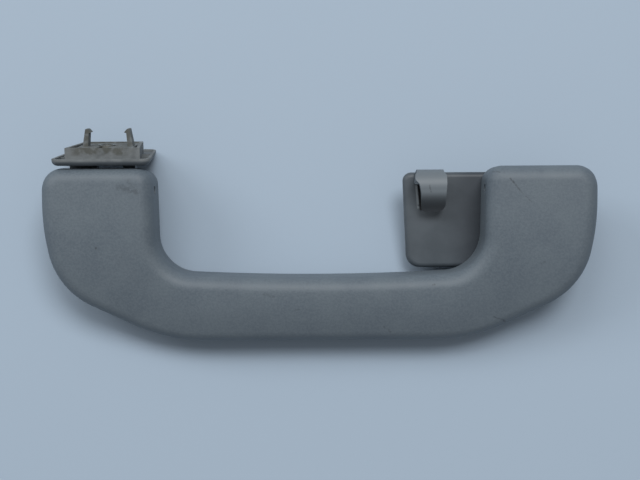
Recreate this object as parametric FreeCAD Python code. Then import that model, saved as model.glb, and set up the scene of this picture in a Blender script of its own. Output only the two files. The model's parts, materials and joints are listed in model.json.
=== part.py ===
import FreeCAD, Part
import math
import os

from FreeCAD import Placement, Rotation, Vector

# Roof grab handle with two folding mounting feet, one with a coat hook. Millimetres.
# Everything is modelled in the grip's own frame and then laid down on its back:
# X runs along the bar, Y from the bar to the arms' ends, Z from the roof into the room.
# Z = 0 is the roof plane that the folded feet seat on, Y = 0 is the bar's lower edge.

# Grip, seen from the front
GRIP_WIDTH = 225.0
GRIP_HEIGHT = 71.0
BAR_HEIGHT = 26.4
BAR_WAIST = 2.3
ARM_WIDTH = 45.0
ARM_INNER_LEAN = 1.2
ARM_OUTER_CORNER = 8.5
ARM_INNER_CORNER = 6.4
HAND_CORNER_RADIUS = 16.0
KNEE_RADIUS = 66.0
FLANK_SLOPE = 26.0
FLANK_LENGTH = 18.4
SHOULDER_RADIUS = 31.0
SIDE_SLOPE = 78.0
SIDE_RADIUS = 105.0

# Grip, seen from the side
BAR_DEPTH = 20.4
BAR_CREST_FROM_EDGE = 4.4
BAR_CROWN_RADIUS = 50.0
BAR_CROWN_LENGTH = 84.0
ARM_DEPTH = 22.6
ARM_CROWN_RADIUS = 129.0
ARM_END_RADIUS = 250.0
ARM_CREST_FROM_HINGE = 14.2
ARM_CROWN_FROM_SIDE = 32.0
FRONT_ROUNDING = 6.0
BACK_ROUNDING = 3.0
WALL = 2.6
CROWN_STEP = 8.0

# Hinge
HINGE_FROM_TOP = 8.8
HINGE_FROM_FRONT = 9.1
OPEN_ANGLE = 96.0
PIN_RADIUS = 1.85
PIN_RECESS = 3.4
PIN_BLIND_WALL = 1.6
PIN_CHAMFER = 0.3
PRESS_CLEARANCE = 0.02
RUNNING_CLEARANCE = 0.07
SIDE_CLEARANCE = 0.3
SWING_CLEARANCE = 0.3
BOSS_RADIUS = 4.2
RIB = 1.6
ARM_RIB_LENGTH = 11.2
ARM_RIB_PITCH = 11.0

# Feet
PLATE_THICKNESS = 2.8
PLATE_ABOVE_HINGE = 6.4
PLATE_BELOW_HINGE = 33.5
PLATE_WIDTH = 40.2
PLATE_TAPER = 1.7
PLATE_TOP_CORNER = 3.6
PLATE_BOTTOM_CORNER = 6.0
PLATE_ROUNDING = 2.2
PLATE_SEAT_GAP = 0.4
LONG_PLATE_WIDTH = 73.6
FOOT_FROM_SIDE = 24.4
RIM_WIDTH = 1.3
RIM_HEIGHT = 1.0

# Lugs that carry a foot on its pin
LUG_EYE_RADIUS = 3.3
LUG_OUTER_WIDTH = 11.3
LUG_INNER_WIDTH = 5.0
LUG_SPACE = 11.0
LUG_SPACE_FROM_SIDE = 25.2
LUG_NECK_LENGTH = 11.2
LUG_LEG = 5.2
LUG_BEND_RADIUS = 3.5

# Box frame and prongs on the mounting side
FRAME_WIDTH = 29.4
FRAME_TAPER = 2.6
FRAME_LENGTH = 27.0
FRAME_HEIGHT = 4.2
FRAME_WALL = 1.3
FRAME_FROM_EDGE = 4.0
PLATFORM_WIDTH = 25.0
PLATFORM_DROP = 0.5
NOTCH_WIDTH = 4.2
NOTCH_DEPTH = 1.5
PRONG_SPACING = 18.2
PRONG_HEIGHT = 7.1
PRONG_BASE = 3.1
PRONG_TIP = 2.0
PRONG_DEPTH = 5.0
BARB_WIDTH = 0.9
BARB_HEIGHT = 1.7
SIDE_RIBS = 3
SIDE_RIB_PITCH = 5.0
PLATE_RIB = 0.8
PLATE_RIB_HEIGHT = 1.5
LONG_PLATE_RIBS = 3
LONG_PLATE_CROSS_RIBS = 2

# Fixing bolt sleeve
SLEEVE_BORE_RADIUS = 2.65
SLEEVE_WALL = 0.75
SLEEVE_SEAT_HEIGHT = 0.6
SEAT_RADIUS = 5.4

# Coat hook
HOOK_WIDTH = 13.0
HOOK_FROM_PLATE_EDGE = 3.0
HOOK_GAP = 6.2
HOOK_MOUTH = 4.4
HOOK_TONGUE = 2.8
HOOK_LENGTH = 17.4
HOOK_STANDS_OUT = 1.2
HOOK_ROOT = 4.4
HOOK_CREST = 8.2
HOOK_FULLNESS = 0.22
HOOK_TIP_WIDTH = 9.2
HOOK_TIP_CORNER = 3.6

# Return spring
WIRE_RADIUS = 0.6
WIRE_CLEARANCE = 0.1
COIL_RADIUS = 3.35
COIL_WHOLE_TURNS = 4
SPRING_LEG = 8.4
SPRING_TAIL_OFFSET = 6.0
SPRING_TAIL = 3.0

# Rotary damper
DAMPER_RADIUS = 4.5
DAMPER_WALL = 0.7
DAMPER_END_WALL = 1.0
ROTOR_HUB_RADIUS = 2.85
ROTOR_DRUM_RADIUS = 3.45
SEAL_WIDTH = 0.9
DOG_LENGTH = 1.4
DOG_WIDTH = 1.6
KEY_THICKNESS = 2.0
KEY_LENGTH = 4.2
KEY_CLEARANCE = 0.1
POST_DEPTH = 4.0

# Places worked out from the sizes above
HALF_WIDTH = GRIP_WIDTH / 2
HINGE_Y = GRIP_HEIGHT - HINGE_FROM_TOP
HINGE_HEIGHT = ARM_DEPTH - HINGE_FROM_FRONT
ARM_CREST_Y = HINGE_Y - ARM_CREST_FROM_HINGE
BAR_CREST_Y = BAR_HEIGHT - BAR_CREST_FROM_EDGE
FOOT_CENTRE = HALF_WIDTH - FOOT_FROM_SIDE
LONG_PLATE_LOW = FOOT_CENTRE + PLATE_WIDTH / 2 - LONG_PLATE_WIDTH
LUG_SPACE_CENTRE = HALF_WIDTH - LUG_SPACE_FROM_SIDE
RECESS_HEIGHT = PLATE_THICKNESS + PLATE_SEAT_GAP
RECESS_Y = HINGE_Y - PLATE_BELOW_HINGE - PLATE_SEAT_GAP
SWING_RADIUS = HINGE_HEIGHT - PLATE_THICKNESS - SWING_CLEARANCE
PLATE_TOP_Y = HINGE_Y + PLATE_ABOVE_HINGE
PLATE_BOTTOM_Y = HINGE_Y - PLATE_BELOW_HINGE
FRAME_TOP_Y = PLATE_TOP_Y - FRAME_FROM_EDGE
BOLT_Y = FRAME_TOP_Y - FRAME_LENGTH / 2
LUG_SPACE_LOW = LUG_SPACE_CENTRE - LUG_SPACE / 2
LUG_SPACE_HIGH = LUG_SPACE_CENTRE + LUG_SPACE / 2
MARGIN = 5.0
TOUCH = 0.01
ACROSS = Vector(1, 0, 0)


def block(x_low, x_high, y_low, y_high, z_low, z_high):
    corner = Vector(x_low, y_low, z_low)
    return Part.makeBox(x_high - x_low, y_high - y_low, z_high - z_low, corner)


def rod(x_low, x_high, radius, y=None):
    """A round bar along X, at the hinge's height and on its axis unless y is given."""
    start = Vector(x_low, HINGE_Y if y is None else y, HINGE_HEIGHT)
    return Part.makeCylinder(radius, x_high - x_low, start, ACROSS)


def mirrored(shape):
    return shape.mirror(Vector(0, 0, 0), ACROSS)


def polygon_face(points):
    return Part.Face(Part.makePolygon(points + points[:1]))


def round_upright_edges(solid, corners):
    """Round the edges along Z that stand at the given (x, y, radius) corners."""
    for x, y, radius in corners:
        chosen = []
        for edge in solid.Edges:
            middle = edge.CenterOfMass
            upright = abs(edge.BoundBox.ZLength - edge.Length) < TOUCH
            if upright and math.hypot(middle.x - x, middle.y - y) < TOUCH:
                chosen.append(edge)
        solid = solid.makeFillet(radius, chosen)
    return solid


def tangent_arc(start, heading, radius, turn):
    """An arc that turns left from a heading in degrees, its end point and new heading."""
    def at(angle):
        left = math.radians(heading + angle)
        before = math.radians(heading)
        return start + Vector(radius * (math.sin(left) - math.sin(before)),
                              radius * (math.cos(before) - math.cos(left)), 0)
    edge = Part.Arc(start, at(turn / 2), at(turn)).toShape()
    return edge, at(turn), heading + turn


def front_outline(inset):
    """The U seen from the front, drawn a constant distance inside the real edge."""
    slope = math.radians(FLANK_SLOPE)
    side_sine = math.sin(math.radians(SIDE_SLOPE))
    top = GRIP_HEIGHT - inset
    flat = HALF_WIDTH - (KNEE_RADIUS * math.sin(slope) + FLANK_LENGTH * math.cos(slope)
                         + SHOULDER_RADIUS * (side_sine - math.sin(slope)) + SIDE_RADIUS * (1 - side_sine))

    start = Vector(flat, inset, 0)
    knee_arc, knee, heading = tangent_arc(start, 0, KNEE_RADIUS - inset, FLANK_SLOPE)
    flank_end = knee + Vector(FLANK_LENGTH * math.cos(slope), FLANK_LENGTH * math.sin(slope), 0)
    shoulder_arc, side_foot, heading = tangent_arc(flank_end, heading, SHOULDER_RADIUS - inset,
                                                   SIDE_SLOPE - FLANK_SLOPE)
    side_arc, side_end, heading = tangent_arc(side_foot, heading, SIDE_RADIUS - inset, 90 - SIDE_SLOPE)
    outer_top = Vector(side_end.x, top, 0)
    inner_slope = math.tan(math.radians(ARM_INNER_LEAN))
    inner_x = HALF_WIDTH - ARM_WIDTH + inset / math.cos(math.radians(ARM_INNER_LEAN))
    inner_top = Vector(inner_x + (top - GRIP_HEIGHT) * inner_slope, top, 0)
    waist_y = BAR_HEIGHT + BAR_WAIST - inset
    inner_foot = Vector(inner_x + (waist_y - GRIP_HEIGHT) * inner_slope, waist_y, 0)

    right = [knee_arc, Part.makeLine(knee, flank_end), shoulder_arc, side_arc]
    right.append(Part.makeLine(side_end, outer_top))
    right.append(Part.makeLine(outer_top, inner_top))
    right.append(Part.makeLine(inner_top, inner_foot))
    across = [Part.makeLine(Vector(-flat, inset, 0), start)]
    bar_top = Vector(0, BAR_HEIGHT - inset, 0)
    across.append(Part.Arc(inner_foot, bar_top, Vector(-inner_foot.x, inner_foot.y, 0)).toShape())
    edges = right + across + [mirrored(edge) for edge in right]
    face = Part.Face(Part.Wire(Part.__sortEdges__(edges)))
    corners = []
    for side in (1, -1):
        corners.append((side * outer_top.x, top, ARM_OUTER_CORNER - inset))
        corners.append((side * inner_top.x, top, ARM_INNER_CORNER - inset))
        corners.append((side * inner_foot.x, waist_y, HAND_CORNER_RADIUS + inset))
    return face, corners


def smooth_step(value):
    """Goes smoothly from 0 to 1 while the value does."""
    value = min(max(value, 0), 1)
    return value * value * (3 - 2 * value)


def crown_height(x, y):
    """How far the crowned front stands from the roof plane: an oval bar between flatter arms."""
    fall_radius = ARM_CROWN_RADIUS if y < ARM_CREST_Y else ARM_END_RADIUS
    arm = ARM_DEPTH - (y - ARM_CREST_Y) ** 2 / (2 * fall_radius)
    if y < BAR_CREST_Y:
        bar = BAR_DEPTH - (y - BAR_CREST_Y) ** 2 / (2 * BAR_CROWN_RADIUS)
    else:
        rise = smooth_step((y - BAR_CREST_Y) / (ARM_CREST_Y - BAR_CREST_Y))
        bar = BAR_DEPTH + (arm - BAR_DEPTH) * rise
    bar_end = BAR_CROWN_LENGTH / 2
    share = smooth_step((abs(x) - bar_end) / (HALF_WIDTH - ARM_CROWN_FROM_SIDE - bar_end))
    return bar + (arm - bar) * share


def spread(low, high):
    """Evenly spaced places from low to high, about one crown step apart."""
    count = math.ceil((high - low) / CROWN_STEP)
    return [low + (high - low) * number / count for number in range(count + 1)]


def front_slab(drop):
    """Everything behind the crowned front, which is lowered by the given drop."""
    reach = HALF_WIDTH + MARGIN
    grid = []
    for x in spread(-reach, reach):
        grid.append([Vector(x, y, crown_height(x, y) - drop) for y in spread(-MARGIN, GRIP_HEIGHT + MARGIN)])
    crown = Part.BSplineSurface()
    crown.interpolate(grid)
    return crown.toShape().extrude(Vector(0, 0, -2 * ARM_DEPTH))


def grip_block(inset, drop):
    face, corners = front_outline(inset)
    prism = face.extrude(Vector(0, 0, ARM_DEPTH + MARGIN))
    prism = round_upright_edges(prism, corners)
    return prism.common(front_slab(drop))


def rounded_grip():
    solid = grip_block(0, 0)
    front_edges = []
    for edge in solid.Edges:
        middle = edge.valueAt((edge.FirstParameter + edge.LastParameter) / 2)
        if middle.z > ARM_DEPTH / 3 and edge.BoundBox.ZLength < edge.Length * 0.7:
            front_edges.append(edge)
    solid = solid.makeFillet(FRONT_ROUNDING, front_edges)
    back_edges = [edge for edge in solid.Edges if edge.BoundBox.ZMax < TOUCH]
    return solid.makeFillet(BACK_ROUNDING, back_edges)


def arm_pocket():
    """The hollow behind the right arm's front wall, open at the back."""
    inner = grip_block(WALL, WALL)
    reach = block(HALF_WIDTH - ARM_WIDTH, GRIP_WIDTH, RECESS_Y + WALL, GRIP_HEIGHT,
                  -MARGIN, ARM_DEPTH)
    return inner.common(reach)


def swing_room():
    """What the feet's plates sweep through at the arms' ends."""
    sweep = block(-GRIP_WIDTH, GRIP_WIDTH, HINGE_Y, GRIP_HEIGHT + MARGIN, -MARGIN, ARM_DEPTH)
    return sweep.cut(rod(-GRIP_WIDTH, GRIP_WIDTH, SWING_RADIUS))


def slotted_post(slot_z, slot_height):
    """The post inside an arm whose slot holds the damper's key or the spring's leg."""
    slot_y = HINGE_Y - DAMPER_RADIUS - KEY_LENGTH - KEY_CLEARANCE
    half_post = LUG_SPACE / 2 - SIDE_CLEARANCE
    low_z = slot_z - slot_height / 2
    post = block(LUG_SPACE_CENTRE - half_post, LUG_SPACE_CENTRE + half_post,
                 slot_y - RIB, slot_y - RIB + POST_DEPTH, low_z - RIB, ARM_DEPTH)
    return post.cut(block(LUG_SPACE_LOW, LUG_SPACE_HIGH, slot_y, HINGE_Y, low_z, low_z + slot_height))


def arm_fittings(slot_z, slot_height):
    """Pin bosses, stiffening ribs and the slotted post inside the right arm."""
    inner_wall = HALF_WIDTH - ARM_WIDTH
    lug_low = LUG_SPACE_LOW - LUG_INNER_WIDTH - SIDE_CLEARANCE
    lug_high = LUG_SPACE_HIGH + LUG_OUTER_WIDTH + SIDE_CLEARANCE
    fittings = [slotted_post(slot_z, slot_height)]
    for low_x, high_x in ((inner_wall, lug_low), (lug_high, HALF_WIDTH)):
        fittings.append(rod(low_x, high_x, BOSS_RADIUS))
        fittings.append(block(low_x, high_x, HINGE_Y - RIB / 2, HINGE_Y + RIB / 2,
                              HINGE_HEIGHT, ARM_DEPTH))
    rib_low = RECESS_Y + WALL / 2
    for step in (-1, 0, 1):
        rib_x = LUG_SPACE_CENTRE + step * ARM_RIB_PITCH
        fittings.append(block(rib_x - RIB / 2, rib_x + RIB / 2, rib_low, rib_low + ARM_RIB_LENGTH,
                              HINGE_HEIGHT / 2, ARM_DEPTH))
    within = grip_block(WALL / 2, WALL / 2)
    return [within.common(fitting) for fitting in fittings]


def make_grip():
    solid = rounded_grip()
    solid = solid.cut(block(-GRIP_WIDTH, GRIP_WIDTH, RECESS_Y, GRIP_HEIGHT + MARGIN,
                            -MARGIN, RECESS_HEIGHT))
    solid = solid.cut(swing_room())
    pocket = arm_pocket()
    solid = solid.cut([pocket, mirrored(pocket)])
    spring_side = arm_fittings(HINGE_HEIGHT + COIL_RADIUS, 2 * (WIRE_RADIUS + WIRE_CLEARANCE))
    damper_side = arm_fittings(HINGE_HEIGHT, KEY_THICKNESS + 2 * KEY_CLEARANCE)
    solid = solid.fuse(spring_side + [mirrored(fitting) for fitting in damper_side])
    bore = rod(HALF_WIDTH - ARM_WIDTH - MARGIN, HALF_WIDTH - PIN_BLIND_WALL,
               PIN_RADIUS + PRESS_CLEARANCE)
    solid = solid.cut([bore, mirrored(bore)])
    return solid.removeSplitter()


def make_pin():
    """The right hinge pin, sunk a little into the hole in the arm's inner wall."""
    start = HALF_WIDTH - ARM_WIDTH + PIN_RECESS
    end = HALF_WIDTH - PIN_BLIND_WALL - PRESS_CLEARANCE
    pin = rod(start, end, PIN_RADIUS)
    ends = [edge for edge in pin.Edges if abs(edge.Length - 2 * math.pi * PIN_RADIUS) < TOUCH]
    return pin.makeChamfer(PIN_CHAMFER, ends)


def plate_outline(low_x, inset):
    """A foot's plate seen from the front: a little narrower at its free end."""
    high_x = FOOT_CENTRE + PLATE_WIDTH / 2
    points = [
        Vector(low_x + inset, PLATE_TOP_Y - inset, 0),
        Vector(low_x + PLATE_TAPER + inset, PLATE_BOTTOM_Y + inset, 0),
        Vector(high_x - PLATE_TAPER - inset, PLATE_BOTTOM_Y + inset, 0),
        Vector(high_x - inset, PLATE_TOP_Y - inset, 0),
    ]
    radii = [PLATE_TOP_CORNER, PLATE_BOTTOM_CORNER, PLATE_BOTTOM_CORNER, PLATE_TOP_CORNER]
    corners = [(point.x, point.y, radius - inset) for point, radius in zip(points, radii)]
    return polygon_face(points), corners


def plate(low_x):
    """The plate with its rounded room side and the raised rim on its mounting side."""
    face, corners = plate_outline(low_x, 0)
    solid = round_upright_edges(face.extrude(Vector(0, 0, PLATE_THICKNESS)), corners)
    room_edges = [edge for edge in solid.Edges if edge.BoundBox.ZMin > PLATE_THICKNESS - TOUCH]
    solid = solid.makeFillet(PLATE_ROUNDING, room_edges)
    face, corners = plate_outline(low_x, RIM_WIDTH)
    dish = round_upright_edges(face.extrude(Vector(0, 0, RIM_HEIGHT)), corners)
    return solid.cut(dish)


def lug(low_x, width):
    """A gooseneck: eye on the pin, neck inside the arm, leg down to the plate."""
    neck = LUG_EYE_RADIUS
    far_y = HINGE_Y - LUG_NECK_LENGTH - LUG_LEG
    near_y = HINGE_Y - LUG_NECK_LENGTH
    points = [
        Vector(low_x, HINGE_Y, HINGE_HEIGHT + neck),
        Vector(low_x, far_y, HINGE_HEIGHT + neck),
        Vector(low_x, far_y, PLATE_THICKNESS - RIM_HEIGHT),
        Vector(low_x, near_y, PLATE_THICKNESS - RIM_HEIGHT),
        Vector(low_x, near_y, HINGE_HEIGHT - neck),
        Vector(low_x, HINGE_Y, HINGE_HEIGHT - neck),
    ]
    solid = polygon_face(points).extrude(Vector(width, 0, 0))
    bends = []
    for edge in solid.Edges:
        middle = edge.CenterOfMass
        along = edge.BoundBox.XLength > width - TOUCH
        outer = abs(middle.y - far_y) < TOUCH and abs(middle.z - HINGE_HEIGHT - neck) < TOUCH
        inner = abs(middle.y - near_y) < TOUCH and abs(middle.z - HINGE_HEIGHT + neck) < TOUCH
        if along and (outer or inner):
            bends.append(edge)
    solid = solid.makeFillet(LUG_BEND_RADIUS, bends)
    return solid.fuse(rod(low_x, low_x + width, LUG_EYE_RADIUS))


def frame_outline(inset):
    """The box frame's trapezoid, narrower towards the plate's free end."""
    half = FRAME_WIDTH / 2 - inset
    top = FRAME_TOP_Y - inset
    bottom = FRAME_TOP_Y - FRAME_LENGTH + inset
    return polygon_face([
        Vector(FOOT_CENTRE - half, top, -FRAME_HEIGHT),
        Vector(FOOT_CENTRE - half + FRAME_TAPER, bottom, -FRAME_HEIGHT),
        Vector(FOOT_CENTRE + half - FRAME_TAPER, bottom, -FRAME_HEIGHT),
        Vector(FOOT_CENTRE + half, top, -FRAME_HEIGHT),
    ])


def prong(side):
    """A snap prong on the platform, straight inside with a barb, slanted outside."""
    base = FOOT_CENTRE + side * (PRONG_SPACING - PRONG_BASE) / 2
    root = -FRAME_HEIGHT + PLATFORM_DROP
    tip = root - PRONG_HEIGHT
    front = BOLT_Y - PRONG_DEPTH / 2
    points = [
        Vector(base, front, root + RIM_HEIGHT),
        Vector(base, front, tip + BARB_HEIGHT),
        Vector(base - side * BARB_WIDTH, front, tip + BARB_HEIGHT * 0.8),
        Vector(base + side * PRONG_TIP * 0.3, front, tip),
        Vector(base + side * PRONG_TIP, front, tip),
        Vector(base + side * PRONG_BASE, front, root),
        Vector(base + side * PRONG_BASE, front, root + RIM_HEIGHT),
    ]
    return polygon_face(points).extrude(Vector(0, PRONG_DEPTH, 0))


def box_frame():
    """Frame, platform and prongs that locate the foot in the roof panel's opening."""
    top = PLATE_THICKNESS - RIM_HEIGHT
    outer = frame_outline(0).extrude(Vector(0, 0, FRAME_HEIGHT + top))
    hollow = frame_outline(FRAME_WALL).extrude(Vector(0, 0, FRAME_HEIGHT + RIM_HEIGHT))
    walls = outer.cut(hollow)
    half = PLATFORM_WIDTH / 2 - FRAME_WALL
    platform = block(FOOT_CENTRE - half, FOOT_CENTRE + half,
                     FRAME_TOP_Y - FRAME_LENGTH + FRAME_WALL / 2, FRAME_TOP_Y - FRAME_WALL / 2,
                     -FRAME_HEIGHT + PLATFORM_DROP, top)
    notch = block(FOOT_CENTRE - NOTCH_WIDTH / 2, FOOT_CENTRE + NOTCH_WIDTH / 2, BOLT_Y, FRAME_TOP_Y + TOUCH,
                  -FRAME_HEIGHT, -FRAME_HEIGHT + PLATFORM_DROP + NOTCH_DEPTH)
    return walls.fuse(platform).cut(notch).fuse([prong(1), prong(-1)])


def plate_rib(low_x, high_x, low_y, high_y):
    return block(low_x, high_x, low_y, high_y, PLATE_THICKNESS - RIM_HEIGHT - PLATE_RIB_HEIGHT,
                 PLATE_THICKNESS - RIM_HEIGHT)


def side_ribs():
    """Low ribs between the box frame and the rim on both sides of the frame."""
    ribs = []
    for number in range(SIDE_RIBS):
        y = BOLT_Y + (number - (SIDE_RIBS - 1) / 2) * SIDE_RIB_PITCH
        for side in (-1, 1):
            low = FOOT_CENTRE + side * (FRAME_WIDTH / 2 - FRAME_TAPER)
            high = FOOT_CENTRE + side * (PLATE_WIDTH / 2 - RIM_WIDTH)
            ribs.append(plate_rib(min(low, high), max(low, high), y - PLATE_RIB / 2, y + PLATE_RIB / 2))
    return ribs


def foot(low_x):
    """A foot without hook, folded, for the right arm."""
    seat = Part.makeCylinder(SEAT_RADIUS, PLATE_THICKNESS + SLEEVE_SEAT_HEIGHT - RIM_HEIGHT,
                             Vector(FOOT_CENTRE, BOLT_Y, RIM_HEIGHT))
    pieces = [lug(LUG_SPACE_HIGH, LUG_OUTER_WIDTH), lug(LUG_SPACE_LOW - LUG_INNER_WIDTH, LUG_INNER_WIDTH)]
    pieces += [box_frame(), seat] + side_ribs()
    solid = plate(low_x).fuse(pieces)
    sleeve_hole = Part.makeCylinder(SLEEVE_BORE_RADIUS + SLEEVE_WALL + PRESS_CLEARANCE,
                                    FRAME_HEIGHT + HINGE_HEIGHT, Vector(FOOT_CENTRE, BOLT_Y, -FRAME_HEIGHT))
    eye_hole = rod(HALF_WIDTH - ARM_WIDTH, HALF_WIDTH, PIN_RADIUS + RUNNING_CLEARANCE)
    return solid.cut([sleeve_hole, eye_hole])


def hook_profile():
    """The hook seen from the side: up from the plate's edge, over, and down towards its tip."""
    top = PLATE_TOP_Y + HOOK_STANDS_OUT
    tip = top - HOOK_LENGTH
    crest_y = top - HOOK_CREST
    crest = PLATE_THICKNESS + HOOK_GAP + HOOK_TONGUE
    mouth = PLATE_THICKNESS + HOOK_MOUTH
    under = PLATE_THICKNESS / 2
    gap_top = PLATE_TOP_Y - HOOK_ROOT
    gap_crest = crest - HOOK_TONGUE
    end_y = tip + HOOK_TONGUE / 3

    def arc(start, middle, end):
        return Part.Arc(Vector(0, *start), Vector(0, *middle), Vector(0, *end)).toShape()

    def line(start, end):
        return Part.makeLine(Vector(0, *start), Vector(0, *end))

    root_top = (top, PLATE_THICKNESS + HOOK_GAP / 3)
    shoulder = (top - HOOK_CREST * HOOK_FULLNESS, crest - (crest - root_top[1]) / 3)
    nose = (tip, mouth + HOOK_TONGUE / 2)
    brow = ((crest_y + tip) / 2, crest - (crest - nose[1]) * HOOK_FULLNESS)
    lip = (end_y, mouth)
    inner_crest = (crest_y, gap_crest)
    inner_brow = ((crest_y + end_y) / 2, gap_crest - (gap_crest - mouth) * HOOK_FULLNESS)
    inner_root = (gap_top, PLATE_THICKNESS + HOOK_GAP / 2)
    inner_shoulder = (gap_top - HOOK_GAP / 8, gap_crest - HOOK_GAP * HOOK_FULLNESS)
    return [
        line((PLATE_TOP_Y - PLATE_ROUNDING, under), (PLATE_TOP_Y, under)),
        arc((PLATE_TOP_Y, under), (top - HOOK_STANDS_OUT / 4, PLATE_THICKNESS), root_top),
        arc(root_top, shoulder, (crest_y, crest)),
        arc((crest_y, crest), brow, nose),
        arc(nose, (tip + HOOK_TONGUE / 30, (nose[1] + mouth) / 2), lip),
        arc(lip, inner_brow, inner_crest),
        arc(inner_crest, inner_shoulder, inner_root),
        line(inner_root, (gap_top, under)),
        line((gap_top, under), (PLATE_TOP_Y - PLATE_ROUNDING, under)),
    ]


def coat_hook():
    """A curled tongue that rises from the plate's top edge and turns down over a gap."""
    low = LONG_PLATE_LOW + HOOK_FROM_PLATE_EDGE + PLATE_TAPER
    tip = PLATE_TOP_Y + HOOK_STANDS_OUT - HOOK_LENGTH
    face = Part.Face(Part.Wire(hook_profile()))
    face.translate(Vector(low, 0, 0))
    solid = face.extrude(Vector(HOOK_WIDTH, 0, 0))
    shrink = HOOK_WIDTH - HOOK_TIP_WIDTH
    gap_top = PLATE_TOP_Y - HOOK_ROOT
    far = PLATE_TOP_Y + MARGIN
    shape = polygon_face([
        Vector(low, far, 0),
        Vector(low, gap_top, 0),
        Vector(low + shrink * 0.7, tip, 0),
        Vector(low + HOOK_WIDTH - shrink * 0.3, tip, 0),
        Vector(low + HOOK_WIDTH, gap_top, 0),
        Vector(low + HOOK_WIDTH, far, 0),
    ]).extrude(Vector(0, 0, 2 * ARM_DEPTH))
    shape = round_upright_edges(shape, [
        (low + shrink * 0.7, tip, HOOK_TIP_CORNER / 2),
        (low + HOOK_WIDTH - shrink * 0.3, tip, HOOK_TIP_CORNER),
    ])
    return solid.common(shape)


def back_ribs():
    """A grid of ribs behind the long plate, a little lower than its rim."""
    low_x = LONG_PLATE_LOW + PLATE_TAPER + RIM_WIDTH / 2
    high_x = FOOT_CENTRE - FRAME_WIDTH / 2
    low_y = PLATE_BOTTOM_Y + RIM_WIDTH / 2
    high_y = PLATE_TOP_Y - RIM_WIDTH / 2
    ribs = []
    for number in range(LONG_PLATE_RIBS):
        y = low_y + (number + 1) / (LONG_PLATE_RIBS + 1) * (high_y - low_y)
        ribs.append(plate_rib(low_x, high_x, y - PLATE_RIB / 2, y + PLATE_RIB / 2))
    for number in range(LONG_PLATE_CROSS_RIBS):
        x = low_x + (number + 1) / (LONG_PLATE_CROSS_RIBS + 1) * (high_x - low_x)
        ribs.append(plate_rib(x - PLATE_RIB / 2, x + PLATE_RIB / 2, low_y, high_y))
    return ribs


def make_sleeve():
    """The steel sleeve that the fixing bolt clamps, flush with the box frame."""
    length = FRAME_HEIGHT + PLATE_THICKNESS + SLEEVE_SEAT_HEIGHT
    base = Vector(FOOT_CENTRE, BOLT_Y, -FRAME_HEIGHT)
    outer = Part.makeCylinder(SLEEVE_BORE_RADIUS + SLEEVE_WALL, length, base)
    return outer.cut(Part.makeCylinder(SLEEVE_BORE_RADIUS, length, base))


def spring_hole():
    """The hole in the right foot's inner lug that takes the spring's bent tail."""
    depth = SPRING_TAIL + SIDE_CLEARANCE
    return rod(LUG_SPACE_LOW - depth, LUG_SPACE_LOW, WIRE_RADIUS + WIRE_CLEARANCE,
               HINGE_Y - SPRING_TAIL_OFFSET)


def make_spring():
    """The torsion spring: a straight leg to the grip, a coil, and a bent tail to the foot."""
    tail_angle = math.asin(COIL_RADIUS / SPRING_TAIL_OFFSET)
    turns = COIL_WHOLE_TURNS + 0.5 + tail_angle / (2 * math.pi)
    height = LUG_SPACE - 2 * SIDE_CLEARANCE - 2 * WIRE_RADIUS
    helix = Part.makeHelix(height / turns, height, COIL_RADIUS)
    start = Vector(COIL_RADIUS, 0, 0)
    ring = Part.makeCircle(WIRE_RADIUS, start, Vector(0, 1, 0))
    coil = Part.Wire(helix).makePipeShell([Part.Wire(ring)], True, True)
    coil_end = Vector(-COIL_RADIUS * math.cos(tail_angle), -COIL_RADIUS * math.sin(tail_angle), height)
    bend = Vector(0, -SPRING_TAIL_OFFSET, height)
    tail_run = bend - coil_end
    pieces = [Part.makeCylinder(WIRE_RADIUS, SPRING_LEG, start, Vector(0, -1, 0))]
    pieces.append(Part.makeCylinder(WIRE_RADIUS, tail_run.Length, coil_end, tail_run))
    pieces.append(Part.makeCylinder(WIRE_RADIUS, WIRE_RADIUS + SPRING_TAIL, bend, Vector(0, 0, 1)))
    pieces += [Part.makeSphere(WIRE_RADIUS, point) for point in (start, coil_end, bend)]
    spring = coil.fuse(pieces)
    spring.Placement = Placement(Vector(LUG_SPACE_HIGH - SIDE_CLEARANCE - WIRE_RADIUS, HINGE_Y, HINGE_HEIGHT),
                                 Rotation(Vector(0, 1, 0), -90))
    return spring


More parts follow.
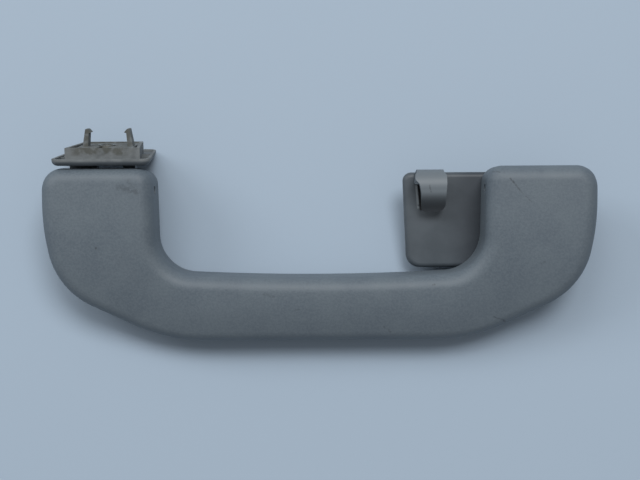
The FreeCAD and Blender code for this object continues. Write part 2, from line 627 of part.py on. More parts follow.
def make_damper():
    """Cup, rotor, cap and seal of the rotary damper, drawn round the right pin."""
    low = LUG_SPACE_LOW + SIDE_CLEARANCE
    high = LUG_SPACE_HIGH - SIDE_CLEARANCE
    cup_inside = DAMPER_RADIUS - DAMPER_WALL
    hub_room = ROTOR_HUB_RADIUS + RUNNING_CLEARANCE
    cap_low = high - DAMPER_END_WALL
    cup = rod(low, high, DAMPER_RADIUS)
    cup = cup.cut([rod(low + DAMPER_END_WALL, high, cup_inside), rod(low, high, hub_room)])
    key = block(low + DAMPER_END_WALL, high - DAMPER_END_WALL,
                HINGE_Y - DAMPER_RADIUS - KEY_LENGTH,
                HINGE_Y - DAMPER_RADIUS + DAMPER_WALL / 2,
                HINGE_HEIGHT - KEY_THICKNESS / 2, HINGE_HEIGHT + KEY_THICKNESS / 2)
    housing = cup.fuse(key).cut(rod(low + DAMPER_END_WALL, high, cup_inside))
    cap = rod(cap_low, high, cup_inside - PRESS_CLEARANCE).cut(rod(low, high, hub_room))

    seal_high = cap_low - PRESS_CLEARANCE
    seal_low = seal_high - SEAL_WIDTH
    seal = rod(seal_low, seal_high, cup_inside - PRESS_CLEARANCE)
    seal = seal.cut(rod(low, high, ROTOR_HUB_RADIUS + PRESS_CLEARANCE))

    drum_low = low + DAMPER_END_WALL + RUNNING_CLEARANCE
    drum_high = seal_low - RUNNING_CLEARANCE
    rotor = rod(low, LUG_SPACE_HIGH, ROTOR_HUB_RADIUS).fuse(rod(drum_low, drum_high, ROTOR_DRUM_RADIUS))
    rotor = rotor.fuse(dogs(0))
    rotor = rotor.cut(rod(low, high + 2 * MARGIN, PIN_RADIUS + RUNNING_CLEARANCE))
    return housing, rotor, cap, seal


def dogs(clearance):
    """Two teeth on the rotor's end that drive it with the foot, or their slots."""
    high = LUG_SPACE_HIGH + DOG_LENGTH + clearance
    half = DOG_WIDTH / 2 + clearance
    bar = block(LUG_SPACE_HIGH - SIDE_CLEARANCE, high, HINGE_Y - half, HINGE_Y + half,
                HINGE_HEIGHT - 2 * LUG_EYE_RADIUS, HINGE_HEIGHT + 2 * LUG_EYE_RADIUS)
    return bar.common(rod(LUG_SPACE_HIGH - SIDE_CLEARANCE, high, ROTOR_HUB_RADIUS + clearance))


def swung_open(shape):
    """Turn a folded piece of the left foot about the hinge axis to where it stands."""
    turn = Placement(Vector(0, 0, 0), Rotation(ACROSS, OPEN_ANGLE), Vector(0, HINGE_Y, HINGE_HEIGHT))
    moved = shape.copy()
    moved.Placement = turn.multiply(moved.Placement)
    return moved


def lean_angle():
    """The tilt at which the bar's back edge and the open foot's free edge touch a table."""
    angle = math.radians(OPEN_ANGLE)
    along = -(PLATE_BELOW_HINGE - PLATE_ROUNDING)
    across = -(HINGE_HEIGHT - PLATE_THICKNESS + PLATE_ROUNDING)
    toe_y = HINGE_Y + along * math.cos(angle) - across * math.sin(angle)
    toe_z = HINGE_HEIGHT + along * math.sin(angle) + across * math.cos(angle)
    run = toe_y - BACK_ROUNDING
    drop = toe_z - BACK_ROUNDING
    reach = math.hypot(run, drop)
    tilt = math.asin((PLATE_ROUNDING - BACK_ROUNDING) / reach) - math.atan2(drop, run)
    return math.degrees(tilt)


def make_nodes():
    foot_low_x = FOOT_CENTRE - PLATE_WIDTH / 2
    housing, rotor, cap, seal = make_damper()
    left_foot = foot(foot_low_x).cut(dogs(PRESS_CLEARANCE)).removeSplitter()
    right_foot = foot(LONG_PLATE_LOW).cut(spring_hole()).fuse([coat_hook()] + back_ribs()).removeSplitter()
    return {
        "grip": make_grip(),
        "left_foot": swung_open(mirrored(left_foot)),
        "right_foot": right_foot,
        "left_hinge_pin": mirrored(make_pin()),
        "right_hinge_pin": make_pin(),
        "left_bolt_sleeve": swung_open(mirrored(make_sleeve())),
        "right_bolt_sleeve": make_sleeve(),
        "return_spring": make_spring(),
        "damper_housing": mirrored(housing),
        "damper_rotor": swung_open(mirrored(rotor)),
        "damper_cap": mirrored(cap),
        "damper_seal": mirrored(seal),
    }


def lay_down(nodes):
    """Lean the handle on its back, with the origin under its middle on the table."""
    lean = Placement(Vector(0, 0, 0), Rotation(ACROSS, lean_angle()))
    for shape in nodes.values():
        shape.Placement = lean.multiply(shape.Placement)
    whole = Part.makeCompound(list(nodes.values()))
    bounds = whole.optimalBoundingBox(True, False)
    shift = Vector(-bounds.Center.x, -bounds.Center.y, -bounds.ZMin)
    for shape in nodes.values():
        shape.translate(shift)
    return shift


def main():
    nodes = make_nodes()
    shift = lay_down(nodes)
    os.makedirs("parts", exist_ok=True)
    for name, shape in nodes.items():
        shape.exportStep("parts/" + name + ".step")
        print(name, len(shape.Solids), round(shape.Volume, 1), shape.isValid())
    print("lean", round(lean_angle(), 3), "shift", [round(value, 3) for value in shift])


main()
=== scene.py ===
import bpy
import bmesh
import json
import math
from mathutils import Matrix, Vector


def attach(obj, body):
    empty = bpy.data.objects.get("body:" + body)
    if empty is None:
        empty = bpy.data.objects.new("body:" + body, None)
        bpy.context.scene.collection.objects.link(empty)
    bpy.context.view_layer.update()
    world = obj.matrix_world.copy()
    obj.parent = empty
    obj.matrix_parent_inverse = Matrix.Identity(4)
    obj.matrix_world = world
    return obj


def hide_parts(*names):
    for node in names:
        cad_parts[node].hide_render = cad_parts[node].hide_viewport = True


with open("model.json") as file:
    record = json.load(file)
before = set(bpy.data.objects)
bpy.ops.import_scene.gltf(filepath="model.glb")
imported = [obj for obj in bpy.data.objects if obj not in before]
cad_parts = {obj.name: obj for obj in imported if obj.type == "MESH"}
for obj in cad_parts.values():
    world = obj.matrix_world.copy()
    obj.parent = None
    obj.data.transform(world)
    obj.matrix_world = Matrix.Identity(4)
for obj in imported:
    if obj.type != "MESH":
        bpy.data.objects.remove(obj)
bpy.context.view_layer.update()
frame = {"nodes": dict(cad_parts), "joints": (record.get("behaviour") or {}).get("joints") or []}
nodes = frame["nodes"]

# Lengths are in metres. Places are in a piece's own frame: X across, Y up the arms and Z into the room,
# with the roof plane at 0. The left side mirrors the right.
MM = 0.001

# Hinges
HINGE_Y = 62.2 * MM
HINGE_HEIGHT = 13.5 * MM
LEAN = math.radians(13.77)
OPEN_ANGLE = math.radians(96)

# Grip: its arms' sides, the boss webs' corners that are closed over, and the arms' ends
ARM_SIDE_INNER = 67.3 * MM
ARM_SIDE_OUTER = 112.5 * MM
BOSS_WEB_HALF = 0.8 * MM
BUMP_FROM_SIDE = (1.15 * MM, 2.55 * MM)
BUMP_HEIGHT = 19.7 * MM
SLACK = 0.02 * MM
ARM_END_Y = 64.0 * MM
ARM_END_HEIGHT = 9.0 * MM
ARM_END_REACH = 0.4 * MM
ARM_END_BLEND = 4.0 * MM
PARTING_HEIGHT = 12.6 * MM

# Box frame of both feet
FOOT_CENTRE = 88.1 * MM
BOLT_Y = 51.1 * MM
BOLT_ROOM = 6.0 * MM
FRAME_HALF = 14.75 * MM
FRAME_HALF_LENGTH = 13.55 * MM
FRAME_DEPTH = 1.02 * MM
FRAME_FRONT_Y = 63.2 * MM
FRAME_HEIGHT = 4.2 * MM
FRAME_WIDENING = 0.9 * MM
NOTCH_HALF = 2.15 * MM

# Snap prongs; they sit off centre by the first value outboard and by the second inboard
PRONG_ROOT = -3.68 * MM
PRONG_REACH = (6.5 * MM, 10.8 * MM)
PRONG_HALF_DEPTH = 2.6 * MM
PRONG_INNER = 7.55 * MM
PRONG_HEIGHT = 7.1 * MM
PRONG_SLIM = 0.73
PRONG_LEAN = 0.5 * MM
PRONG_OFF_CENTRE = (0.2 * MM, 1.37 * MM)

# Inboard edge of the left plate
PLATE_EDGE_X = 73.0 * MM
PLATE_EDGE_WIDTH = 4.0 * MM
PLATE_TAPER = 1.1 * MM
PLATE_LENGTH = 33.5 * MM

# Coat hook, and the low rib beside its tongue, whose left side runs from its lower to its upper end
HOOK_LEFT = 39.3 * MM
HOOK_RIGHT = 52.3 * MM
HOOK_SIDE = 54.0 * MM
HOOK_FOOT_HEIGHT = 7.0 * MM
HOOK_TOP_Y = 64.2 * MM
HOOK_TIP_Y = 52.4 * MM
TONGUE_INSET = 1.7 * MM
TONGUE_INSET_TOP_Y = 66.2 * MM
TONGUE_INSET_BLEND = 2.5 * MM
TONGUE_INSET_FADE = 0.85
TONGUE_TIP_OUT = 0.7 * MM
HOOK_TIP_LOW = 7.2 * MM
HOOK_CURL_Y = 60.5 * MM
HOOK_CURL = 0.72
HOOK_CREST_Y = 67.4 * MM
HOOK_CREST_BLEND = 2.0 * MM
HOOK_CREST_ROUNDING = 0.15
RIB_LEFT = (40.8 * MM, 39.8 * MM)
RIB_THICKNESS = 0.8 * MM
RIB_PROFILE_MM = ((55.0, 2.0), (55.0, 3.2), (55.6, 3.55), (65.9, 3.55), (66.5, 3.2), (66.5, 2.0))

# Meshes
MERGE_GAP = 0.002 * MM
SMOOTH_ANGLE = math.radians(32)

# Surfaces: how large the patches of each pattern are, in mm. Such a moulded grain is really about 0.3 mm,
# too fine to show at this size, so the grip's is drawn as coarse as it needs to be.
GRIP_CLOUD_MM = 14.0
GRIP_GRAIN_MM = 0.85
GRIP_RELIEF_MM = 0.6
FOOT_CLOUD_MM = 9.0
FOOT_RELIEF_MM = 0.5
DUST_CLOUD_MM = 3.5
STAIN_CLOUD_MM = 2.6
ZINC_CLOUD_MM = 1.8
ZINC_RELIEF_MM = 0.4
SCUFF_PATCH_MM = 1.2
SCUFF_SHAKE_MM = 2.5

# Surfaces: depths in metres, and places from where a finish starts to where it is at its full. Heights
# are over the piece's own roof plane, and X and Y are the whole part's.
SCUFF_SHAKE = 1.2 * MM
GRIP_RELIEF = 0.06 * MM
FOOT_RELIEF = 0.025 * MM
ZINC_RELIEF = 0.01 * MM
DAMPER_RELIEF = 0.02 * MM
PARTING_LINE = (0.28 * MM, 0.05 * MM)
SCUFF_HEIGHT = (PARTING_HEIGHT, PARTING_HEIGHT + 2 * MM)
WORN_HEIGHT = (HOOK_FOOT_HEIGHT - 3 * MM, HOOK_FOOT_HEIGHT)
# Where the painted shade in the hook's curl starts and where it is full
CURL_SHADE_Y = (16.0 * MM, 9.5 * MM)
# Where the painted shade on the plate next to the arm starts and where it is full
PLATE_SHADE_X = (50.0 * MM, 64.0 * MM)
MOUNTING_SIDE_HEIGHT = (1.6 * MM, 0.4 * MM)
STAIN_REACH = (15.0 * MM, 8.0 * MM)
STAIN_HEIGHT = (-0.4 * MM, -1.8 * MM)

# Scuffs as the whole part is seen from above: start, end and half width in mm, and strength
GRIP_SCUFFS = (
    ((77.0, 18.9), (81.0, 14.1), 0.55, 0.75),
    ((81.0, 14.1), (85.4, 9.8), 0.40, 0.40),
    ((70.2, 22.4), (72.6, 21.6), 0.50, 0.55),
    ((-79.8, 16.4), (-72.4, 14.6), 2.2, 0.40),
    ((-76.0, 18.8), (-73.0, 16.2), 1.4, 0.30),
    ((-89.4, -7.4), (-89.0, -7.5), 0.7, 0.80),
    ((-79.7, -10.9), (-79.3, -11.0), 0.6, 0.55),
    ((-22.6, -25.6), (-18.4, -26.6), 0.7, 0.35),
    ((-10.0, -31.8), (-6.8, -31.4), 0.6, 0.30),
    ((26.6, -38.6), (29.2, -40.4), 0.6, 0.40),
    ((46.2, -22.4), (46.8, -22.2), 0.6, 0.85),
    ((71.0, -34.6), (76.6, -36.6), 0.45, 0.60),
    ((83.6, -34.0), (84.4, -34.4), 0.5, 0.50),
    ((89.6, -14.4), (91.2, -13.8), 0.5, 0.40),
)
HOOK_SCUFFS = (
    ((45.6, 18.6), (46.2, 15.8), 0.45, 0.55),
    ((42.6, 12.8), (43.6, 12.2), 0.6, 0.35),
)
# Beside the hook's tongue, in the same way: painted shade in the slit behind the low rib, and a painted
# highlight on the rib's top
SLIT_SHADE = ((42.3, 10.2), (41.5, 19.4), 1.1)
RIB_HIGHLIGHT = ((41.1, 10.8), (40.3, 19.6), 0.7)

# Camera, floor and light; each window has an azimuth and an elevation in degrees, and watts
CAMERA_DISTANCE = 450 * MM
CAMERA_SIDE = 20.7 * MM
CAMERA_TILT = math.radians(9.3)
LENS_MM = 62.05
SENSOR_MM = 36.0
PHOTO_TURN = math.radians(-0.36)
FLOOR_HALF_SIZE = 1.6
LIGHT_DISTANCE = 2.6
LIGHT_SIZE = 1.2
SKY_STRENGTH = 0.31
WINDOWS = {
    "high_right_window": (62, 66, 33.0),
    "high_left_window": (115, 55, 13.2),
    "low_left_window": (150, 36, 16.6),
}

# The grip lies on its back, so its own frame leans about X. A foot's own frame is the grip's while it is
# folded, and turns about the hinge as it opens.
hinge = Vector(frame["joints"][0]["pos_m"])
hinge.x = 0


def own_frame(tilt):
    """From a frame that is tilted about the hinge to the frame of the whole part."""
    return (Matrix.Translation(hinge) @ Matrix.Rotation(tilt, 4, "X")
            @ Matrix.Translation((0, -HINGE_Y, -HINGE_HEIGHT)))


# Materials
def srgb(hex_value):
    """A colour written as sRGB hex, turned to linear."""
    channels = [int(hex_value[i:i + 2], 16) / 255 for i in (1, 3, 5)]
    linear = [c / 12.92 if c <= 0.04045 else ((c + 0.055) / 1.055) ** 2.4 for c in channels]
    return (*linear, 1.0)


def link(tree, source, socket):
    """Lead a node's own output, or a given socket, into an input."""
    if isinstance(source, bpy.types.Node):
        source = next(output for output in source.outputs if output.enabled)
    tree.links.new(source, socket)


def add_node(tree, kind, *values, **named):
    """Add a node with its settings and inputs; an input is a value, a hex colour, a node or a socket."""
    node = tree.nodes.new(kind)
    settings = [name for name in named if hasattr(node, name)]
    for name in settings:
        setattr(node, name, named.pop(name))
    sockets = [socket for socket in node.inputs if socket.enabled]
    pairs = list(zip(sockets, values))
    for name, value in named.items():
        pairs.append((next(s for s in sockets if s.name == name.replace("_", " ")), value))
    for socket, value in pairs:
        if isinstance(value, (bpy.types.Node, bpy.types.NodeSocket)):
            link(tree, value, socket)
        else:
            socket.default_value = srgb(value) if isinstance(value, str) else value
    return node


def soft_step(low, high):
    """How a Map Range node goes smoothly from 0 at one value to 1 at another."""
    return {"interpolation_type": "SMOOTHSTEP", "From_Min": low, "From_Max": high}


def new_material(name, colour, roughness, metallic=0.0, ior=1.5):
    """A material, its node tree, its shader, and the place on the object that its patterns read."""
    material = bpy.data.materials.new(name)
    material.use_nodes = True
    tree = material.node_tree
    shader = tree.nodes["Principled BSDF"]
    shader.inputs["Base Color"].default_value = srgb(colour)
    shader.inputs["Roughness"].default_value = roughness
    shader.inputs["Metallic"].default_value = metallic
    if not metallic:
        shader.inputs["IOR"].default_value = ior
    return material, tree, shader, add_node(tree, "ShaderNodeTexCoord").outputs["Object"]


def finish_surface(tree, shader, uneven, roughness, relief, strength):
    """Let the roughness run between two levels with an uneven value, and raise the surface by a relief."""
    rough = add_node(tree, "ShaderNodeMapRange", uneven, To_Min=roughness[0], To_Max=roughness[1])
    link(tree, rough, shader.inputs["Roughness"])
    bump = add_node(tree, "ShaderNodeBump", Height=relief, Strength=strength, Distance=1.0)
    link(tree, bump, shader.inputs["Normal"])


def patches(tree, place, size_mm, low=0.3, high=0.7, detail=3.0):
    """Soft patches about as large as the given size: 1 inside them and 0 between them."""
    clouds = add_node(tree, "ShaderNodeTexNoise", Vector=place, Scale=1 / (size_mm * MM), Detail=detail)
    return add_node(tree, "ShaderNodeMapRange", clouds, **soft_step(low, high))


def fine_relief(tree, place, size_mm, depth, detail=2.0):
    """A fine moulded unevenness: how high the surface stands, in metres."""
    clouds = add_node(tree, "ShaderNodeTexNoise", Vector=place, Scale=1 / (size_mm * MM), Detail=detail)
    return add_node(tree, "ShaderNodeMath", clouds, depth, operation="MULTIPLY")


def paint_over(tree, colour, paint, *shares, strength=1.0):
    """Lay a colour over another, by the product of the given shares and the strength."""
    share = shares[0]
    for other in (*shares[1:], strength):
        share = add_node(tree, "ShaderNodeMath", share, other, operation="MULTIPLY")
    return add_node(tree, "ShaderNodeMix", data_type="RGBA", Factor=share, A=colour, B=paint)


def height_over_plane(tree, place, tilt):
    """How far a point stands from the roof plane of a piece that is tilted about the hinge."""
    direction = Matrix.Rotation(tilt, 3, "X") @ Vector((0, 0, 1))
    along = add_node(tree, "ShaderNodeVectorMath", place, direction, operation="DOT_PRODUCT")
    return add_node(tree, "ShaderNodeMath", along, hinge.dot(direction) - HINGE_HEIGHT, operation="SUBTRACT")


def stroke(tree, place, start_mm, end_mm, width_mm):
    """1 on a thin line between two places seen from above, fading to 0 at its half width."""
    start = Vector((*start_mm, 0)) * MM
    along = Vector((*end_mm, 0)) * MM - start
    flat = add_node(tree, "ShaderNodeVectorMath", place, (1, 1, 0), -start, operation="MULTIPLY_ADD")
    share = add_node(tree, "ShaderNodeVectorMath", flat, along / along.length_squared,
                     operation="DOT_PRODUCT")
    share = add_node(tree, "ShaderNodeClamp", share)
    nearest = add_node(tree, "ShaderNodeVectorMath", along, share, operation="SCALE")
    gap = add_node(tree, "ShaderNodeVectorMath", flat, nearest, operation="DISTANCE")
    return add_node(tree, "ShaderNodeMapRange", gap, **soft_step(width_mm * MM, 0))


def marks(tree, place, strokes):
    """All the strokes of a surface, each as strong as it says, a little crooked and broken up."""
    shake = add_node(tree, "ShaderNodeTexNoise", Vector=place, Scale=1 / (SCUFF_SHAKE_MM * MM), Detail=2.0)
    shaken = add_node(tree, "ShaderNodeVectorMath", shake.outputs["Color"], (SCUFF_SHAKE, SCUFF_SHAKE, 0),
                      place, operation="MULTIPLY_ADD")
    total = 0.0
    for start_mm, end_mm, width_mm, strength in strokes:
        line = stroke(tree, shaken, start_mm, end_mm, width_mm)
        line = add_node(tree, "ShaderNodeMath", line, strength, operation="MULTIPLY")
        total = add_node(tree, "ShaderNodeMath", total, line, operation="MAXIMUM")
    broken = patches(tree, place, SCUFF_PATCH_MM, high=0.6)
    return add_node(tree, "ShaderNodeMath", total, broken, operation="MULTIPLY")


def grip_polypropylene():
    """Moulded with an eroded grain: a low, broken sheen, faint clouds of colour, scuffs on the front and
    a paler parting line."""
    material, tree, shader, place = new_material("grip_grained_polypropylene", "#5b656f", roughness=0.52,
                                                 ior=1.49)
    colour = paint_over(tree, "#55606a", "#5b666f", patches(tree, place, GRIP_CLOUD_MM))
    grain = patches(tree, place, GRIP_GRAIN_MM)
    colour = paint_over(tree, colour, "#707b83", grain, strength=0.3)
    height = height_over_plane(tree, place, LEAN)
    on_front = add_node(tree, "ShaderNodeMapRange", height, **soft_step(*SCUFF_HEIGHT))
    colour = paint_over(tree, colour, "#33383e", marks(tree, place, GRIP_SCUFFS), on_front)
    from_line = add_node(tree, "ShaderNodeMath", height, PARTING_HEIGHT, operation="SUBTRACT")
    from_line = add_node(tree, "ShaderNodeMath", from_line, operation="ABSOLUTE")
    line = add_node(tree, "ShaderNodeMapRange", from_line, **soft_step(*PARTING_LINE))
    colour = paint_over(tree, colour, "#858d94", line, strength=0.35)
    link(tree, colour, shader.inputs["Base Color"])
    ridge = add_node(tree, "ShaderNodeMath", line, GRIP_RELIEF, operation="MULTIPLY")
    relief = add_node(tree, "ShaderNodeMath", fine_relief(tree, place, GRIP_RELIEF_MM, GRIP_RELIEF), ridge,
                      operation="ADD")
    finish_surface(tree, shader, grain, roughness=(0.48, 0.62), relief=relief, strength=0.8)
    return material


def foot_polypropylene(name, tilt, scuffs=()):
    """Moulded smoother and darker than the grip, and paler where it stands out and is rubbed clean. The
    mounting side is faded and dusty, with brown stains in the middle. Painted shade darkens the hook's curl,
    the plate towards the arm and the slit behind the low rib, and a painted highlight lies on the rib's top."""
    material, tree, shader, place = new_material(name, "#4b535a", roughness=0.5, ior=1.49)
    colour = paint_over(tree, "#474f56", "#4f575e", patches(tree, place, FOOT_CLOUD_MM))
    height = height_over_plane(tree, place, tilt)
    worn_clean = add_node(tree, "ShaderNodeMapRange", height, **soft_step(*WORN_HEIGHT))
    below_it = add_node(tree, "ShaderNodeMath", 1.0, worn_clean, operation="SUBTRACT")
    colour = paint_over(tree, colour, "#656e75", worn_clean)
    axes = add_node(tree, "ShaderNodeSeparateXYZ", place)
    curl_shade = add_node(tree, "ShaderNodeMapRange", axes.outputs["Y"], **soft_step(*CURL_SHADE_Y))
    # Painted shade in the curl of the hook's tongue
    colour = paint_over(tree, colour, "#1d2228", worn_clean, curl_shade, strength=0.9)
    # Painted shade on the low plate, darker towards the arm
    outboard = add_node(tree, "ShaderNodeMapRange", axes.outputs["X"], **soft_step(*PLATE_SHADE_X))
    colour = paint_over(tree, colour, "#262c35", outboard, below_it, strength=0.6)
    mounting_side = add_node(tree, "ShaderNodeMapRange", height, **soft_step(*MOUNTING_SIDE_HEIGHT))
    dust_clouds = patches(tree, place, DUST_CLOUD_MM, low=0.25, high=0.75, detail=4.0)
    dust = paint_over(tree, "#666b6d", "#7f8486", dust_clouds)
    colour = paint_over(tree, colour, dust, mounting_side, strength=0.8)
    from_middle = add_node(tree, "ShaderNodeMath", axes.outputs["X"], operation="ABSOLUTE")
    from_middle = add_node(tree, "ShaderNodeMath", from_middle, FOOT_CENTRE, operation="SUBTRACT")
    from_middle = add_node(tree, "ShaderNodeMath", from_middle, operation="ABSOLUTE")
    in_middle = add_node(tree, "ShaderNodeMapRange", from_middle, **soft_step(*STAIN_REACH))
    on_frame = add_node(tree, "ShaderNodeMapRange", height, **soft_step(*STAIN_HEIGHT))
    stains = patches(tree, place, STAIN_CLOUD_MM, high=0.62, detail=4.0)
    colour = paint_over(tree, colour, "#464740", stains, on_frame, in_middle, strength=0.75)
    if scuffs:
        colour = paint_over(tree, colour, "#2f3338", marks(tree, place, scuffs))
        # Painted shade in the slit behind the low rib
        colour = paint_over(tree, colour, "#0d0f12", stroke(tree, place, *SLIT_SHADE), below_it)
        # A painted highlight on the low rib's top
        colour = paint_over(tree, colour, "#7b8389", stroke(tree, place, *RIB_HIGHLIGHT), below_it)
    link(tree, colour, shader.inputs["Base Color"])
    relief = fine_relief(tree, place, FOOT_RELIEF_MM, FOOT_RELIEF)
    finish_surface(tree, shader, mounting_side, roughness=(0.5, 0.8), relief=relief, strength=0.6)
    return material


def zinc_plated_steel(name, colour, roughness):
    """Drawn steel under a thin zinc plating: a soft grey gloss, a little cloudy."""
    material, tree, shader, place = new_material(name, colour, roughness, metallic=1.0)
    clouds = add_node(tree, "ShaderNodeTexNoise", Vector=place, Scale=1 / (ZINC_CLOUD_MM * MM), Detail=3.0)
    relief = fine_relief(tree, place, ZINC_RELIEF_MM, ZINC_RELIEF, detail=3.0)
    finish_surface(tree, shader, clouds, roughness=(roughness - 0.1, roughness + 0.15), relief=relief,
                   strength=0.6)
    return material


def black_moulding(name, colour, roughness, ior, cloud_mm):
    """Black acetal or rubber of the damper: near black and smooth, with a faint moulded unevenness."""
    material, tree, shader, place = new_material(name, colour, roughness, ior=ior)
    clouds = add_node(tree, "ShaderNodeTexNoise", Vector=place, Scale=1 / (cloud_mm * MM), Detail=3.0)
    relief = add_node(tree, "ShaderNodeMath", clouds, DAMPER_RELIEF, operation="MULTIPLY")
    finish_surface(tree, shader, clouds, roughness=(roughness - 0.08, roughness + 0.08), relief=relief,
                   strength=0.5)
    return material


# Pieces
def merged_copy(node_name):
    """A copy of a CAD node's mesh with its loose triangles joined, to be worked on."""
    bm = bmesh.new()
    bm.from_mesh(nodes[node_name].data)
    bmesh.ops.remove_doubles(bm, verts=bm.verts, dist=MERGE_GAP)
    return bm


def stand_in(bm, node_name, name, body, material):
    """Turn the worked copy into the piece that shows in place of its CAD node."""
    bm.verts.ensure_lookup_table()
    bm.verts.index_update()
    mesh = bpy.data.meshes.new(name)
    mesh.from_pydata([v.co for v in bm.verts], [], [[v.index for v in f.verts] for f in bm.faces])
    bm.free()
    mesh.shade_smooth()
    mesh.set_sharp_from_angle(angle=SMOOTH_ANGLE)
    mesh.materials.append(material)
    piece = bpy.data.objects.new(name, mesh)
    bpy.context.scene.collection.objects.link(piece)
    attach(piece, body)
    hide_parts(node_name)


def smooth_step(value):
    """Goes smoothly from 0 to 1 while the value does."""
    value = min(max(value, 0), 1)
    return value * value * (3 - 2 * value)


def reshape(bm, tilt, move):
    """Move each point by a rule that is written in the piece's own frame, alike on both sides."""
    own = own_frame(tilt)
    back = own.inverted()
    for vert in bm.verts:
        place = back @ vert.co
        side = math.copysign(1, place.x)
        x, y, z = move(abs(place.x), place.y, place.z)
        vert.co = own @ Vector((side * x, y, z))


def on_boss_bump(place):
    """Whether a point lies on the small corner of a boss web that stands out of the front's rounding."""
    x = abs(place.x)
    from_side = min(x - ARM_SIDE_INNER, ARM_SIDE_OUTER - x)
    return (BUMP_FROM_SIDE[0] < from_side < BUMP_FROM_SIDE[1] and place.z > BUMP_HEIGHT
            and abs(place.y - HINGE_Y) < BOSS_WEB_HALF + SLACK)


def arm_end(x, y, z):
    """The arms' ends stand a little further over the feet."""
    if y > ARM_END_Y and z > ARM_END_HEIGHT:
        y += ARM_END_REACH * smooth_step((y - ARM_END_Y) / ARM_END_BLEND)
    return x, y, z


def make_grip():
    """The grip, with its skin closed smoothly over the boss webs."""
    bm = merged_copy("grip")
    to_grip = own_frame(LEAN).inverted()
    bumps = [face for face in bm.faces if all(on_boss_bump(to_grip @ v.co) for v in face.verts)]
    bmesh.ops.delete(bm, geom=bumps, context="FACES")
    rims = [edge for edge in bm.edges if edge.is_boundary]
    filled = bmesh.ops.holes_fill(bm, edges=rims, sides=0)["faces"]
    bmesh.ops.triangulate(bm, faces=filled)
    reshape(bm, LEAN, arm_end)
    stand_in(bm, "grip", "grip_moulding", "root", grip_polypropylene())


def on_prong(x, y, z):
    """Whether a point lies on one of the two snap prongs."""
    reach = abs(x - FOOT_CENTRE)
    return z < PRONG_ROOT and PRONG_REACH[0] < reach < PRONG_REACH[1] and abs(y - BOLT_Y) < PRONG_HALF_DEPTH


def on_frame(x, y, z):
    """Whether a point lies on the box frame, apart from the room round the bolt."""
    return (z < FRAME_DEPTH and abs(x - FOOT_CENTRE) < FRAME_HALF and abs(y - BOLT_Y) < FRAME_HALF_LENGTH
            and math.hypot(x - FOOT_CENTRE, y - BOLT_Y) > BOLT_ROOM)


def foot_form(x, y, z):
    """Slim prongs that lean inwards, and a frame that is whole in front and reaches further inboard."""
    inboard = x < FOOT_CENTRE
    if on_prong(x, y, z):
        outwards = -1 if inboard else 1
        reach = abs(x - FOOT_CENTRE)
        if reach > PRONG_INNER:
            reach = PRONG_INNER + (reach - PRONG_INNER) * PRONG_SLIM
        reach -= PRONG_LEAN * (PRONG_ROOT - z) / PRONG_HEIGHT
        x = FOOT_CENTRE + outwards * reach - PRONG_OFF_CENTRE[inboard]
    elif on_frame(x, y, z):
        if y > FRAME_FRONT_Y and abs(x - FOOT_CENTRE) < NOTCH_HALF and z < 0:
            z = -FRAME_HEIGHT
        x -= FRAME_WIDENING * (FOOT_CENTRE + FRAME_HALF - x) / (2 * FRAME_HALF)
    return x, y, z


def left_foot_form(x, y, z):
    """The left plate tapers on its inboard edge, more the further it is from the hinge."""
    x, y, z = foot_form(x, y, z)
    down_plate = smooth_step((HINGE_Y - y) / PLATE_LENGTH)
    x += PLATE_TAPER * down_plate * smooth_step((PLATE_EDGE_X - x) / PLATE_EDGE_WIDTH)
    return x, y, z


def right_foot_form(x, y, z):
    """The coat hook's stem has rounded edges; its tongue is set in on the left and curls in at its tip."""
    x, y, z = foot_form(x, y, z)
    if HOOK_LEFT - SLACK < x < HOOK_RIGHT + SLACK and y > HOOK_CREST_Y:
        middle = (HOOK_LEFT + HOOK_RIGHT) / 2
        over_crest = smooth_step((y - HOOK_CREST_Y) / HOOK_CREST_BLEND)
        x = middle + (x - middle) * (1 - HOOK_CREST_ROUNDING * over_crest)
    if x < HOOK_SIDE and z > HOOK_FOOT_HEIGHT:
        from_left = (x - HOOK_LEFT) / (HOOK_RIGHT - HOOK_LEFT)
        down_hook = smooth_step((HOOK_TOP_Y - y) / (HOOK_TOP_Y - HOOK_TIP_Y)) ** 2
        below_crest = smooth_step((TONGUE_INSET_TOP_Y - y) / TONGUE_INSET_BLEND)
        x += TONGUE_INSET * (1 - from_left) * below_crest * (1 - TONGUE_INSET_FADE * down_hook)
        x += TONGUE_TIP_OUT * from_left * down_hook
        curl = smooth_step((HOOK_CURL_Y - y) / (HOOK_CURL_Y - HOOK_TIP_Y))
        z = HOOK_TIP_LOW + (z - HOOK_TIP_LOW) * (1 - HOOK_CURL * curl)
    return x, y, z


def add_hook_rib(bm, tilt):
    """A low rib on the plate runs along the left of the tongue; the hook stays open over it."""
    own = own_frame(tilt)
    low_y, high_y = RIB_PROFILE_MM[0][0], RIB_PROFILE_MM[-1][0]
    rings = []
    for offset in (0, RIB_THICKNESS):
        ring = []
        for y_mm, z_mm in RIB_PROFILE_MM:
            share = (y_mm - low_y) / (high_y - low_y)
            x = RIB_LEFT[0] + (RIB_LEFT[1] - RIB_LEFT[0]) * share + offset
            ring.append(bm.verts.new(own @ Vector((x, y_mm * MM, z_mm * MM))))
        rings.append(ring)
    left, right = rings
    faces = [bm.faces.new(left), bm.faces.new(reversed(right))]
    for number in range(len(left)):
        before = number - 1
        faces.append(bm.faces.new((left[number], left[before], right[before], right[number])))
    bmesh.ops.recalc_face_normals(bm, faces=faces)


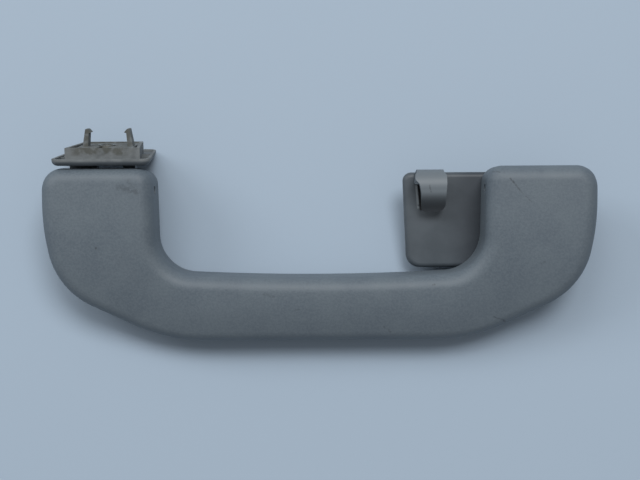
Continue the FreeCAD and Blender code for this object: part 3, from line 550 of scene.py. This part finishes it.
def make_foot(side, tilt, form, scuffs=()):
    """One foot, reshaped and dressed; the right one gets the rib beside its hook."""
    node_name = side + "_foot"
    bm = merged_copy(node_name)
    reshape(bm, tilt, form)
    if side == "right":
        add_hook_rib(bm, tilt)
    material = foot_polypropylene(side + "_foot_polypropylene", tilt, scuffs)
    stand_in(bm, node_name, node_name + "_moulding", node_name + "_body", material)


def dress(material, *node_names):
    """Give CAD nodes their material."""
    for node_name in node_names:
        mesh = nodes[node_name].data
        mesh.materials.clear()
        mesh.materials.append(material)


def dress_inner_pieces():
    """The metal pieces and the damper, each in its own finish."""
    dress(zinc_plated_steel("pin_zinc_plated_steel", "#a9aba8", roughness=0.34),
          "left_hinge_pin", "right_hinge_pin")
    dress(zinc_plated_steel("sleeve_rolled_zinc_plated_steel", "#9fa19d", roughness=0.42),
          "left_bolt_sleeve", "right_bolt_sleeve")
    dress(zinc_plated_steel("spring_drawn_steel", "#8f908e", roughness=0.3), "return_spring")
    dress(black_moulding("damper_acetal", "#1d1e20", roughness=0.4, ior=1.48, cloud_mm=2.0),
          "damper_housing", "damper_rotor", "damper_cap")
    dress(black_moulding("seal_nitrile_rubber", "#151515", roughness=0.62, ior=1.52, cloud_mm=0.8),
          "damper_seal")


# Floor, light and camera
def make_floor():
    """A plain pale floor."""
    half = FLOOR_HALF_SIZE
    corners = [(-half, -half, 0), (half, -half, 0), (half, half, 0), (-half, half, 0)]
    mesh = bpy.data.meshes.new("floor")
    mesh.from_pydata(corners, [], [(0, 1, 2, 3)])
    mesh.materials.append(new_material("painted_floor", "#9cadbe", roughness=0.7)[0])
    floor = bpy.data.objects.new("floor", mesh)
    bpy.context.scene.collection.objects.link(floor)


def window_light(name, azimuth, elevation, watts):
    """A large soft disk of light that faces the part."""
    data = bpy.data.lights.new(name, "AREA")
    data.shape = "DISK"
    data.size = LIGHT_SIZE
    data.energy = watts
    turn = (Matrix.Rotation(math.radians(azimuth), 3, "Z")
            @ Matrix.Rotation(math.radians(-elevation), 3, "Y"))
    light = bpy.data.objects.new(name, data)
    light.location = turn @ Vector((LIGHT_DISTANCE, 0, 0))
    light.rotation_euler = (-light.location).to_track_quat("-Z", "Y").to_euler()
    bpy.context.scene.collection.objects.link(light)


def make_lights():
    """A pale sky, and soft windows beyond the arms' ends."""
    world = bpy.data.worlds.new("soft_sky")
    bpy.context.scene.world = world
    world.use_nodes = True
    background = world.node_tree.nodes["Background"]
    background.inputs["Color"].default_value = srgb("#ffffff")
    background.inputs["Strength"].default_value = SKY_STRENGTH
    for name, (azimuth, elevation, watts) in WINDOWS.items():
        window_light(name, azimuth, elevation, watts)


def make_camera():
    """Nearly overhead: tilted a little about X, at a set distance from the hinge."""
    data = bpy.data.cameras.new("camera")
    data.lens = LENS_MM
    data.sensor_width = SENSOR_MM
    camera = bpy.data.objects.new("camera", data)
    tilt = Matrix.Rotation(CAMERA_TILT, 4, "X")
    place = hinge + tilt @ Vector((0, -CAMERA_SIDE, CAMERA_DISTANCE))
    camera.matrix_world = Matrix.Translation(place) @ tilt @ Matrix.Rotation(PHOTO_TURN, 4, "Z")
    bpy.context.scene.collection.objects.link(camera)
    bpy.context.scene.camera = camera


make_grip()
make_foot("left", LEAN + OPEN_ANGLE, left_foot_form)
make_foot("right", LEAN, right_foot_form, HOOK_SCUFFS)
dress_inner_pieces()

bpy.context.scene.view_settings.view_transform = "Standard"
make_floor()
make_lights()
make_camera()
